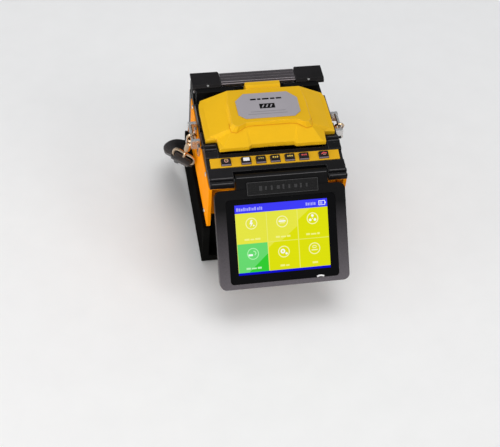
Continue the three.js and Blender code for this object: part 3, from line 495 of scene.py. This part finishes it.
def lit_picture():
    """The start page on the display: two bars, six fields, plain pictograms."""
    names = ["lit_" + n for n in ("blue", "dark_blue", "lime", "pale", "green", "mint", "line",
                                  "icon", "icon_green", "haze", "haze_green", "blue_mark", "white")]
    s = Sheetwork("display_picture", "screen", SCREEN, names)
    half, top, low = HALF_W, PICTURE_TOP, -PICTURE_TOP
    base, field, mark = -0.3, -0.17, -0.12
    bar, split, foot, col = 20.0, -2.9, -24.5, 11.7
    s.rect(-half, half, bar, top, base, field, "lit_blue")
    s.rect(-half, half, low, foot, base, field, "lit_dark_blue")
    columns = [(-half, -col), (-col, col), (col, half)]
    rows = [(split, bar), (foot, split)]
    fields = {}
    for r, (y0, y1) in enumerate(rows):
        for c, (x0, x1) in enumerate(columns):
            fields[r, c] = (x0, x1, y0, y1)
            color = "lit_green" if (r, c) == (1, 0) else "lit_lime"
            s.rect(x0, x1, y0, y1, base, field, color)
    # the paler sheen over the upper left of the fields
    thin = (field - 0.02, field + 0.01)
    x0, x1, y0, y1 = fields[0, 0]
    s.rect(x0, x1, y0, y1, *thin, "lit_pale")
    x0, x1, y0, y1 = fields[0, 1]
    s.shape([(x0, y0), (x0 + 10, y0), (x1, y0 + 10.5), (x1, y1), (x0, y1)], *thin, "lit_pale")
    x0, x1, y0, y1 = fields[0, 2]
    s.shape([(x0, y1 - 8.5), (x0 + 10.5, y1), (x0, y1)], *thin, "lit_pale")
    x0, x1, y0, y1 = fields[1, 0]
    s.shape([(x0, y0), (x0 + 8, y0), (x1, y1 - 8), (x1, y1), (x0, y1)], *thin, "lit_mint")
    x0, x1, y0, y1 = fields[1, 1]
    s.shape([(x0, y1 - 4.6), (x0 + 5.4, y1), (x0, y1)], *thin, "lit_pale")
    line = (field - 0.01, field + 0.03)
    for x in (-col, col):
        s.rect(x - 0.32, x + 0.32, foot, bar, *line, "lit_line")
    s.rect(-col + 0.3, col - 0.3, split - 0.22, split + 0.22, *line, "lit_line")
    s.rect(col + 0.3, half, split - 0.22, split + 0.22, *line, "lit_line")
    s.rect(-half, -half + 0.3, foot, bar, *line, "lit_line")
    # pictograms
    up = (mark - 0.06, mark)
    centres = [(-23.2, 12, "lit_icon"), (0, 11.6, "lit_icon"), (23.2, 12, "lit_icon"),
               (-23.4, -10.7, "lit_icon_green"), (0, -11.1, "lit_icon"), (23.4, -10.7, "lit_icon")]
    for x, y, ink in centres:
        s.ring(x, y, 4.4, 3.75, *up, ink)
    x, y = -23.2, 12
    s.shape([(x - 0.4, y + 2.6), (x + 1.0, y + 2.6), (x + 0.1, y + 0.6), (x + 1.3, y + 0.6),
             (x - 1.0, y - 2.7), (x - 0.3, y - 0.4), (x - 1.4, y - 0.4)], *up, "lit_white")
    s.disc(x + 1.7, y - 1.6, 0.55, *up, "lit_white")
    x, y = 0, 11.6
    s.rect(x - 2.6, x + 2.6, y - 0.2, y + 0.9, *up, "lit_white")
    s.rect(x - 1.9, x + 1.9, y - 1.3, y - 0.75, *up, "lit_icon")
    s.rect(x - 1.9, x + 1.9, y + 1.45, y + 1.95, *up, "lit_icon")
    x, y = 23.2, 12
    for angle in (90, 210, 330):
        c, q = math.cos(angle * RAD), math.sin(angle * RAD)
        s.disc(x + 2.1 * c, y + 2.1 * q, 1.0, *up, "lit_white", 14)
    s.disc(x, y, 0.5, *up, "lit_icon", 10)
    x, y = -23.4, -10.7
    s.rect(x - 3.4, x - 0.2, y - 1.6, y - 0.2, *up, "lit_white")
    s.ring(x + 0.6, y + 0.4, 1.9, 1.1, *up, "lit_icon_green", -70, 100, 12)
    x, y = 0, -11.1
    s.ring(x - 0.8, y + 0.4, 1.75, 0.75, *up, "lit_white", steps=20)
    s.disc(x + 1.9, y - 1.5, 0.85, *up, "lit_white", 14)
    x, y = 23.4, -10.7
    s.ring(x, y + 0.5, 2.0, 1.45, *up, "lit_icon", 20, 160, 12)
    s.rect(x - 2.3, x + 2.3, y - 1.5, y - 0.7, *up, "lit_icon")
    s.rect(x - 1.4, x + 1.4, y + 0.3, y + 0.8, *up, "lit_icon")
    # soft dashes where captions would be
    dashes = {(-23.0, 0.2): (3.2, 2.4, 3.4), (0.2, 0.4): (2.6, 3.4, 2.2),
              (23.0, 0.4): (2.4, 3.6, 1.6), (-23.2, -21.6): (2.8, 3.2, 2.6),
              (0.2, -21.4): (3.0, 2.2), (23.4, -21.3): (3.6,)}
    for (x, y), widths in dashes.items():
        ink = "lit_haze_green" if (x < -20 and y < -10) else "lit_haze"
        at = x - (sum(widths) + 0.8 * (len(widths) - 1)) / 2 * 1.15
        for i, w in enumerate(widths):
            s.rect(at, at + w * 1.15, y - 0.7, y + 0.7 - 0.3 * (i % 2), *up, ink)
            at += w * 1.15 + 0.8
    at = -half + 1.2
    for i, w in enumerate((1.3, 1.3, 1.3, 1.2, 0.5, 1.2, 1.2, 0.5, 1.2, 1.3, 0.0, 1.2, 0.6, 1.2)):
        if w:
            s.rect(at, at + w, 21.7, 24.2 - 0.3 * (i % 3), *up, "lit_blue_mark")
        at += w + 0.42
    at = 18.6
    for i, w in enumerate((1.2, 1.2, 0.4, 1.0, 0.6, 1.2)):
        s.rect(at, at + w, 21.9, 24.2 - 0.3 * (i % 2), *up, "lit_blue_mark")
        at += w + 0.38
    s.rect(28.4, 33.4, 21.4, 21.8, *up, "lit_white")
    s.rect(28.4, 33.4, 24.5, 24.9, *up, "lit_white")
    s.rect(28.4, 28.8, 21.8, 24.5, *up, "lit_white")
    s.rect(33.0, 33.4, 21.8, 24.5, *up, "lit_white")
    s.rect(33.4, 33.9, 22.5, 23.8, *up, "lit_white")
    s.rect(29.2, 31.4, 22.2, 24.1, *up, "lit_blue_mark")
    s.finish()
    # the small curved mark printed on the glass below the picture
    p = Sheetwork("glass_mark", "screen", SCREEN, ["white_print"])
    p.ring(26.9, -37.5, 6.4, 5.2, -0.25, -0.15, "white_print", 62, 118, 14)
    p.finish()


def plate_lines():
    """Raised rim and plain relief on the plate above the display."""
    s = Sheetwork("plate_relief", "screen", SCREEN, ["plate_line"])
    x0, x1, y0, y1 = -24.8, 28.8, 32.7, 42.4
    z = (0.0, 0.22)
    s.rect(x0, x1, y0, y0 + 0.35, *z, "plate_line")
    s.rect(x0, x1, y1 - 0.35, y1, *z, "plate_line")
    s.rect(x0, x0 + 0.35, y0 + 0.35, y1 - 0.35, *z, "plate_line")
    s.rect(x1 - 0.35, x1, y0 + 0.35, y1 - 0.35, *z, "plate_line")
    for i in range(9):
        x = -15.6 + i * 4.4
        h = (1.7, 1.3, 1.6, 1.2, 1.7, 1.4, 1.2, 1.6, 1.3)[i]
        s.rect(x, x + (1.2 if i % 3 else 2.1), 37.5 - h, 37.5 + h, 0.0, 0.17, "plate_line")
    s.finish()


def label_print():
    """Plain graphics on the cover's label: a broken bar, a block with slashes, fine rules."""
    s = Sheetwork("label_print", "cover", WORLD, ["label_ink", "label_grey", "label"])
    low, high = 113.75, 113.86
    at = -12.4
    for w in (4.4, 2.6, 5.2, 3.4, 4.2):
        s.rect(at, at + w, 5.1, 6.7, low, high, "label_ink")
        at += w + 1.1
    s.rect(-6.4, 5.4, -4.6, 0.6, low, high, "label_ink")
    for x in (-4.0, -0.9, 2.2):
        s.shape([(x - 0.9, -3.5), (x + 0.1, -3.5), (x + 1.5, -0.6), (x + 0.5, -0.6)],
                high - 0.02, high + 0.03, "label")
    s.rect(-14, 12.6, -8.0, -7.6, low, high, "label_grey")
    s.rect(-16.4, 13.8, -10.6, -10.2, low, high, "label_grey")
    s.finish()


KEY_X = (-37.29, -22.11, -10.89, 0, 11.11, 22, 37.18)


def key_caps():
    """Black caps on the keys with a plain sign each: ring, block, dots, bars."""
    inks = {"amber": srgb(226, 190, 60), "pink": srgb(214, 150, 130), "red": srgb(205, 40, 50),
            "white": srgb(235, 235, 240), "olive": srgb(160, 140, 40)}
    for name, color in inks.items():
        M["ink_" + name] = plastic("ink_" + name, color, 0.45)
    for i, x in enumerate(KEY_X, 1):
        bm = bmesh.new()
        made = bmesh.ops.create_cube(bm, size=1)
        for v in made["verts"]:
            taper = 0.94 if v.co.z > 0 else 1.0
            v.co = Vector((v.co.x * 7.3 * taper, v.co.y * 4.9 * taper, v.co.z * 1.5 + 1.15))
        bmesh.ops.bevel(bm, geom=bm.edges[:] + bm.verts[:], offset=0.42, segments=3, affect="EDGES",
                        profile=0.5)
        for v in bm.verts:
            dish = max(0.0, 1 - (v.co.x / 3.4) ** 2) * (0.12 if v.co.z > 1.7 else 0)
            v.co = STRIP @ Vector((v.co.x + x, v.co.y + 0.45, v.co.z - dish))
        cap = to_object(bm, f"key_cap_{i}", M["key_cap"], f"key_{i}_body")
        modifier(cap, "WEIGHTED_NORMAL", keep_sharp=True)
        s = Sheetwork(f"key_sign_{i}", f"key_{i}_body", STRIP,
                      ["ink_" + n for n in ("amber", "pink", "red", "white", "olive")])
        low, high, y = 1.7, 1.98, 0.55
        if i == 1:
            s.ring(x, y, 1.55, 1.05, low, high, "ink_pink", -235, 55, 18)
            s.rect(x - 0.25, x + 0.25, y + 0.1, y + 1.5, low, high, "ink_amber")
        elif i == 2:
            s.rect(x - 2.3, x + 2.3, y - 1.4, y + 1.4, low, high, "ink_white")
        elif i in (3, 4, 5):
            ink = "ink_amber" if i > 3 else "ink_olive"
            for k in range(3):
                rise = 0.62 - 0.22 * ((k + i) % 2)
                s.rect(x - 2.1 + k * 1.55, x - 1.1 + k * 1.55, y - 0.62, y + rise, low, high, ink)
        elif i == 6:
            for k in range(3):
                rise = 0.6 - 0.2 * (k % 2)
                s.rect(x - 2.1 + k * 1.5, x - 1.1 + k * 1.5, y - 0.6, y + rise, low, high,
                       "ink_red")
        else:
            s.shape([(x - 2.2, y - 0.2), (x - 0.2, y + 1.1), (x + 2.2, y + 0.5), (x + 2.2, y - 0.4),
                     (x - 0.2, y + 0.1), (x - 1.6, y - 0.9)], low, high, "ink_red")
            s.rect(x - 0.7, x + 1.4, y - 1.2, y - 0.75, low, high, "ink_pink")
        s.finish()


BAR_SIDES = 10


def x_bars(bm, rows):
    """Adds bars along X to bm: rows of (x0, x1, y, z, half depth, half height, finish)."""
    for x0, x1, y, z, ry, rz, slot in rows:
        ends = []
        for x in (x0, x1):
            ends.append([bm.verts.new(Vector((x, y + ry * math.cos(a), z + rz * math.sin(a))) * MM)
                         for a in (TURN * k / BAR_SIDES for k in range(BAR_SIDES))])
        faces = []
        for k in range(BAR_SIDES):
            j = (k + 1) % BAR_SIDES
            faces.append((ends[0][k], ends[0][j], ends[1][j], ends[1][k]))
        for corners in faces + [ends[0][::-1], ends[1]]:
            bm.faces.new(corners).material_index = slot
    bmesh.ops.recalc_face_normals(bm, faces=bm.faces[:])


def cover_shadow_line():
    """A thin darker orange rod along the fine parting step round the front of the cover's raised
    top: a painted shadow line at the step.
    """
    # The darker orange of this rod is a painted shadow along the step.
    M["step"] = plastic("cover_step_shadow", (0.70, 0.30, 0.006), 0.45, specular=0.1, edge=0)
    half = [(31.6, -14, 109.3), (31.6, -19, 108.9), (31, -21.4, 107.6), (27, -22.2, 107.0),
            (19.4, -19, 109.4), (15, -18.6, 109.7)]
    path = [Vector(p) for p in half] + [Vector((-x, y, z)) for x, y, z in reversed(half)]
    lift = Vector((0, -0.5, 0.87))
    bm = bmesh.new()
    rings = []
    for k, point in enumerate(path):
        along = (path[min(k + 1, len(path) - 1)] - path[max(k - 1, 0)]).normalized()
        side = along.cross(lift).normalized()
        up = side.cross(along)
        rings.append([bm.verts.new((point + lift * 0.1 + side * (0.26 * math.cos(a))
                                    + up * (0.26 * math.sin(a))) * MM)
                      for a in (TURN * i / 8 for i in range(8))])
    for a, b in zip(rings, rings[1:]):
        for i in range(8):
            bm.faces.new((a[i], a[(i + 1) % 8], b[(i + 1) % 8], b[i]))
    bm.faces.new(rings[0][::-1])
    bm.faces.new(rings[-1])
    bmesh.ops.recalc_face_normals(bm, faces=bm.faces[:])
    to_object(bm, "cover_step_shadow_line", M["step"], "cover")


def highlight_crests():
    """Fine rounded crests on the deck's ribs and a line along the screen's hinge barrel, coloured
    lighter than the deck as painted highlights.
    """
    # The crests' lighter grey is a painted highlight.
    M["crest_highlight"] = plastic("crest_highlight", (0.075, 0.073, 0.078), 0.4, specular=0.2)
    rows = []
    for x0, x1 in ((-50.6, -34.6), (38.6, 50.6)):
        rows += [(x0, x1, -55.5, 94.12, 0.3), (x0, x1, -59.3, 92.45, 0.3)]
    for x0, x1 in ((-51.2, -42.8), (42.8, 51.2)):
        rows += [(x0, x1, -24.8, 98.6, 0.22), (x0, x1, -28.9, 98.6, 0.22)]
    bm = bmesh.new()
    x_bars(bm, [(*row[:4], row[4], row[4], 0) for row in rows])
    obj = to_object(bm, "deck_crests", M["crest_highlight"], "body")
    line = Sheetwork("barrel_crest", "screen", SCREEN, ["crest_highlight"])
    line.shape([(-31.8, 46.0), (35.8, 46.0), (35.8, 46.45), (-31.8, 46.45)], -0.9, -0.2, "crest_highlight")
    line.finish()
    modifier(obj, "WEIGHTED_NORMAL", keep_sharp=True)


def lid_lines():
    """Lengthwise ribs moulded in the clear heater lid; the front two are coloured pale as painted
    highlights.
    """
    rows = [(35.7, 104.9, 0.34, 0.3, 0), (37.5, 105.55, 0.24, 0.22, 0), (41.2, 105.5, 0.3, 0.2, 1),
            (44.6, 105.45, 0.3, 0.2, 1), (47.6, 105.4, 0.3, 0.25, 1)]
    bm = bmesh.new()
    x_bars(bm, [(-29.4, 29.4, *row) for row in rows])
    obj = to_object(bm, "heater_lid_ribs", [M["smoked_rib_highlight"], M["smoked_line"]], "heater_cover")
    modifier(obj, "WEIGHTED_NORMAL", keep_sharp=True)


def screw(name, centre, normal, radius, body, material):
    """A domed screw head with a six-sided socket."""
    bm = bmesh.new()
    profile = [(radius * 0.42, -0.5), (radius * 0.42, 0.35), (radius * 0.5, 0.45),
               (radius * 0.8, 0.36), (radius, 0.0), (radius, -0.4)]
    rings = []
    for k, (r, h) in enumerate(profile):
        sides = 24
        ring = []
        for i in range(sides):
            a = TURN * i / sides
            reach = r
            if k < 2:
                reach = r * math.cos(math.pi / 6) / math.cos((a % (math.pi / 3)) - math.pi / 6)
            ring.append(bm.verts.new((reach * math.cos(a), reach * math.sin(a), h)))
        rings.append(ring)
    for a, b in zip(rings, rings[1:]):
        for i in range(24):
            bm.faces.new((a[i], a[(i + 1) % 24], b[(i + 1) % 24], b[i]))
    bm.faces.new(rings[0][::-1])
    bm.faces.new(rings[-1])
    bmesh.ops.recalc_face_normals(bm, faces=bm.faces[:])
    turn = Vector(normal).to_track_quat("Z", "Y").to_matrix().to_4x4()
    bm.transform(WORLD @ Matrix.Translation(Vector(centre)) @ turn)
    obj = to_object(bm, name, M[material], body)
    modifier(obj, "WEIGHTED_NORMAL", keep_sharp=True)


SHELL_X, REAR_Y, SCREW_R = 52.6, 51.8, 1.9


def screws():
    for name, side in (("left", -1), ("right", 1)):
        for k, (y, z) in enumerate(((-42, 46), (-42, 86), (32, 46), (32, 86))):
            screw(f"shell_screw_{name}_{k}", (side * SHELL_X, y, z), (side, 0, 0), SCREW_R,
                  "body", "steel")
    for k, (x, z) in enumerate(((-46, 80), (46, 80), (-46, 49), (46, 49))):
        screw(f"rear_screw_{k}", (x, REAR_Y, z), (0, 1, 0), SCREW_R, "body", "dark_steel")


# ---------------------------------------------------------------- neck strap
STRAP_W, STRAP_T = 20.0, 1.5
BODY_OF_WIDTH = 0.94                # flat part of the webbing; its rounded edges add the rest
FOLDS, FOLD_PITCH, FOLD_Y = 9, 5, 63
FOLD_HALF, FOLD_TURN = 36, 38.5     # half length of a fold, and where it turns back
HANG = {"left": (-1, 8, 16, (-0.14, 0.38, -0.914), (0.8, -0.45, -0.3)),
        "right": (1, 9, 25, (0.04, 0.6, -0.8), (0, 0.8, 0.6))}
RING_DROP = 12


def ring_frame(name):
    """Place of a D-ring and its axes: across the ring, along its bar, up to the hook."""
    side, lean, swing, down, bar = HANG[name]
    turn = Matrix.Rotation(swing * RAD, 3, "X") @ Matrix.Rotation(-side * lean * RAD, 3, "Y")
    place = Vector((side * 58, -5, 90.5)) + turn @ Vector((0, 0, -26.8))
    up = -Vector(down).normalized()
    along = Vector(bar)
    along = (along - up * along.dot(up)).normalized()
    return place, along.cross(up), along, up


def strap_stations():
    ends = {}
    for name in HANG:
        place, _, along, up = ring_frame(name)
        ends[name] = (place - up * (RING_DROP + 3), along)
    low = STRAP_W / 2 + 0.4
    upright = (0, 0, -1)
    right_bar = -ends["right"][1]
    stations = [
        (ends["left"][0], ends["left"][1]), ((-65.4, 20.5, 40.5), (0.85, -0.3, -0.45)),
        ((-66, 33, 30), (0.8, -0.1, -0.6)), ((-67, 47, 21), (0.5, 0, -0.87)),
        ((-61, 58, 14), (0.1, -0.1, -1)), ((-48, 61, low + 0.3), upright),
    ]
    for i in range(FOLDS):
        way = 1 if i % 2 == 0 else -1
        y = FOLD_Y + i * FOLD_PITCH
        stations += [((way * t * FOLD_HALF, y, low), upright) for t in (-1, -0.5, 0, 0.5, 1)]
        if i < FOLDS - 1:
            stations.append(((way * FOLD_TURN, y + FOLD_PITCH / 2, low), upright))
    stations += [
        ((48, 100, low), upright), ((57, 89, low + 0.2), upright), ((61.5, 74, 11.5), upright),
        ((62.5, 58, 13.5), upright), ((62.5, 46, 20), (0, -0.4, -0.9)),
        ((61.8, 34, 33), (0, -0.7, -0.7)), ((60.8, 24, 45), right_bar),
        (ends["right"][0], right_bar),
    ]
    return [(Vector(at), Vector(across)) for at, across in stations]


def centripetal(points, per_span):
    """Points on the centripetal Catmull-Rom curve through the given ones, and their places."""
    count = len(points)
    out = []
    for i in range(count - 1):
        p1, p2 = points[i], points[i + 1]
        p0 = points[i - 1] if i else p1 * 2 - p2
        p3 = points[i + 2] if i + 2 < count else p2 * 2 - p1
        d0, d1, d2 = (max((b - a).length, 1e-6) ** 0.5 for a, b in ((p0, p1), (p1, p2), (p2, p3)))
        m1 = ((p1 - p0) / d0 - (p2 - p0) / (d0 + d1) + (p2 - p1) / d1) * d1
        m2 = ((p2 - p1) / d1 - (p3 - p1) / (d1 + d2) + (p3 - p2) / d2) * d1
        steps = per_span if i < count - 2 else per_span + 1
        for k in range(steps):
            t = k / per_span
            out.append((p1 * (2 * t ** 3 - 3 * t ** 2 + 1) + m1 * (t ** 3 - 2 * t ** 2 + t)
                        + p2 * (3 * t ** 2 - 2 * t ** 3) + m2 * (t ** 3 - t ** 2), i + t))
    return out


def ribbon(name, rows, width, thickness, body="body"):
    """Flat webbing through rows of (centre, across, along): rounded edges, UVs in metres."""
    section = [(-0.5, -0.5), (-0.25, -0.5), (0.25, -0.5), (0.5, -0.5), (0.53, 0), (0.5, 0.5),
               (0.25, 0.5), (-0.25, 0.5), (-0.5, 0.5), (-0.53, 0)]
    bm = bmesh.new()
    uv = bm.loops.layers.uv.new("UVMap")
    rings, run, lengths = [], 0.0, []
    for k, (centre, across, along) in enumerate(rows):
        if k:
            run += (centre - rows[k - 1][0]).length
        lengths.append(run)
        side = (across - along * across.dot(along)).normalized()
        normal = side.cross(along)
        rings.append([bm.verts.new((centre + side * (a * width * BODY_OF_WIDTH)
                                    + normal * (b * thickness)) * MM)
                      for a, b in section])
    count = len(section)
    for k in range(len(rings) - 1):
        for i in range(count):
            j = (i + 1) % count
            face = bm.faces.new((rings[k][i], rings[k][j], rings[k + 1][j], rings[k + 1][i]))
            for loop, (c, r) in zip(face.loops, ((i, k), (j, k), (j, k + 1), (i, k + 1))):
                loop[uv].uv = (section[c][0] + 0.5, lengths[r] * MM)
    bm.faces.new(rings[0][::-1])
    bm.faces.new(rings[-1])
    bmesh.ops.recalc_face_normals(bm, faces=bm.faces[:])
    obj = to_object(bm, name, M["webbing"], body)
    return obj, run


def neck_strap():
    stations = strap_stations()
    curve = centripetal([at for at, _ in stations], 9)
    rows = []
    for k, (point, place) in enumerate(curve):
        before, after = curve[max(k - 1, 0)][0], curve[min(k + 1, len(curve) - 1)][0]
        i = min(int(place), len(stations) - 2)
        across = stations[i][1].lerp(stations[i + 1][1], place - i)
        rows.append((point, across, (after - before).normalized()))
    strap, length = ribbon("neck_strap_web", rows, STRAP_W, STRAP_T)
    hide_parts("neck_strap")
    for name in HANG:
        place, normal, along, up = ring_frame(name)
        bar = place - up * RING_DROP
        radius, path = 2.05, []
        first = rows[0] if name == "left" else rows[-1]
        away = first[2] if name == "left" else -first[2]
        for t in (9, 7, 5, 3):
            path.append(bar - up * 3 + away * t + normal * 1.7)
        for k in range(13):
            a = math.pi * k / 12
            path.append(bar + normal * (radius * math.cos(a)) + up * (radius * math.sin(a)))
        for t in (3, 5, 7, 9):
            path.append(bar - up * 3 + away * t - normal * 1.7)
        loop_rows = []
        for k, point in enumerate(path):
            before, after = path[max(k - 1, 0)], path[min(k + 1, len(path) - 1)]
            loop_rows.append((point, along, (after - before).normalized()))
        loop, _ = ribbon(f"strap_loop_{name}", loop_rows, 14.4, 1.4)


def dress_cad_nodes():
    dress("base_housing", "base_black", 0.9, 3)
    dress("left_shell right_shell front_panel", "yellow_shell", 0.7, 3)
    dress("top_deck", "black", 0.4, 3)
    dress("rear_panel power_inlet", "black", 0.4)
    dress("heater_housing", "deep_black", 0.45)
    dress("heater_wing_left heater_wing_right", "rough_black", 0.7, 3)
    dress("base_pad battery_latch", "rubber", 0.5)
    dress("battery_pack", "battery_grey", 0.6)
    dress("main_board key_board", "board", 0.0)
    dress("arc_module microscope sheath_clamp_left sheath_clamp_right", "black", 0.3)
    dress("heater_bed", "brushed", 0.25)
    dress("chassis sheath_lid_left sheath_lid_right", "dark_alloy", 0.25)
    dress("vee_block_left vee_block_right", "ceramic", 0.2)
    dress("electrode_frame", "deep_black", 0.2)
    dress("electrode_front electrode_rear fibre_presser cover_pin heater_pin wing_screw_left "
          "wing_screw_right strap_bar_left strap_bar_right hook_gate_left hook_gate_right",
          "steel", 0.15, 2, 35)
    dress("screen_pin_left screen_pin_right", "dark_steel", 0.15, 2, 35)
    dress("snap_hook_left snap_hook_right strap_ring_left strap_ring_right", "gold", 0)
    dress("screen_frame", "dark_grey", 0.8, 3)
    dress("screen_back", "black", 0.9, 3)
    dress("name_plate", "plate", 0.15)
    dress("heater_lid", "smoked", 0.35)
    dress("wind_cover", "yellow_cover", 0.8, 3, 7)
    dress("key_strip", "strip_yellow", 0.2)
    dress("cover_label", "label", 0.12)
    dress("lcd_module", "black", 0.0)
    dress("screen_glass", "glass_black", 0.15)
    dress(" ".join(f"key_{i}" for i in range(1, 8)), "key_rim", 0.5, 3)
    for name in ("snap_hook_left", "snap_hook_right", "strap_ring_left", "strap_ring_right"):
        modifier(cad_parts[name], "WEIGHTED_NORMAL", keep_sharp=True)


make_materials()
make_camera()
make_stage()
dress_cad_nodes()
lit_picture()
plate_lines()
label_print()
key_caps()
lid_lines()
highlight_crests()
cover_shadow_line()
screws()
neck_strap()
scene.view_settings.view_transform = "Standard"
